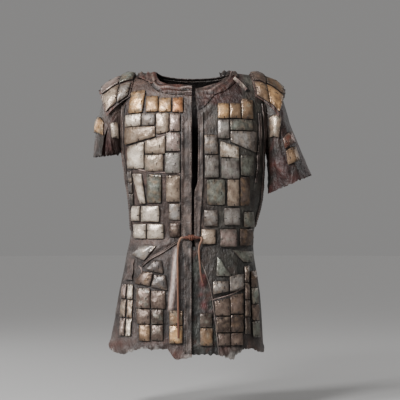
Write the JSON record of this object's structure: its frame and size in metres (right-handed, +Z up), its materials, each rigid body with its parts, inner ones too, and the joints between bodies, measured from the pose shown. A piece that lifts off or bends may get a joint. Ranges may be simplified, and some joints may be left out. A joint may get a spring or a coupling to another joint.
{
  "type": "lamellar armour tunic, worn form with no wearer",
  "caption": "Short-sleeved leather tunic armoured with sewn-on domed plates, open down the front and tied at the waist with a thong, held in its worn shape.",
  "frame": {"origin": "middle of the shoulder line, where the wearer carries the garment, level with the shoulder seams by the neck", "axes": "+Z up, the garment's front faces -Y, its left sleeve is at +X"},
  "size_m": [0.6612, 0.3088, 0.8614],
  "materials": {
    "leather": "dark purplish brown leather, worn and matt",
    "red_leather": "soft red-brown leather, wrinkled",
    "grey_leather": "grey-brown leather bands with rubbed edges",
    "bronze_plate": "hardened leather plates, aged bronze paint",
    "pewter_plate": "hardened leather plates, aged pewter paint",
    "thong": "rust-brown leather thong"
  },
  "bodies": {
    "root": {"front_right": "leather", "front_left": "leather", "back": "leather", "sleeve_right_front": "leather", "sleeve_right_back": "leather", "sleeve_left": "leather", "cap_right": "leather", "cap_left": "leather", "flap_right": "leather", "underlap_left": "red_leather", "collar_right": "red_leather", "collar_left": "red_leather", "collar_back": "red_leather", "placket_right": "grey_leather", "placket_left": "grey_leather", "strip_right": "grey_leather", "strip_left": "grey_leather", "strip_left_inner": "grey_leather", "waist_edge_right": "grey_leather", "plates_front_right_a": "bronze_plate", "plates_front_right_b_top": "bronze_plate", "plates_front_right_c": "bronze_plate", "plates_vent_right": "bronze_plate", "plates_vent_left": "bronze_plate", "plates_cap_left_front": "bronze_plate", "plates_cap_left_top": "bronze_plate", "plates_cap_left_back": "bronze_plate", "plates_sleeve_right_outer": "bronze_plate", "plates_sleeve_left_outer": "bronze_plate", "plates_front_right_b": "pewter_plate", "plates_front_right_d": "pewter_plate", "plates_side_right": "pewter_plate", "plates_hip_right": "pewter_plate", "plates_skirt_right_a": "pewter_plate", "plates_skirt_right_b": "pewter_plate", "plates_skirt_right_c": "pewter_plate", "plates_skirt_right_d": "pewter_plate", "plates_front_left_a": "pewter_plate", "plates_front_left_b": "pewter_plate", "plates_front_left_c": "pewter_plate", "plates_front_left_d": "pewter_plate", "plates_skirt_left_a": "pewter_plate", "plates_skirt_left_b": "pewter_plate", "plates_skirt_left_c": "pewter_plate", "plates_skirt_left_d": "pewter_plate", "plates_back_a": "pewter_plate", "plates_back_b": "pewter_plate", "plates_back_c": "pewter_plate", "plates_back_d": "pewter_plate", "plates_back_e": "pewter_plate", "plates_back_f": "pewter_plate", "plates_cap_right_front": "pewter_plate", "plates_cap_right_top": "pewter_plate", "plates_cap_right_back": "pewter_plate", "plates_sleeve_right_inner": "pewter_plate", "plates_sleeve_left_inner": "pewter_plate", "waist_knot": "thong", "lace_right": "thong", "lace_left": "thong"}
  },
  "joints": []
}
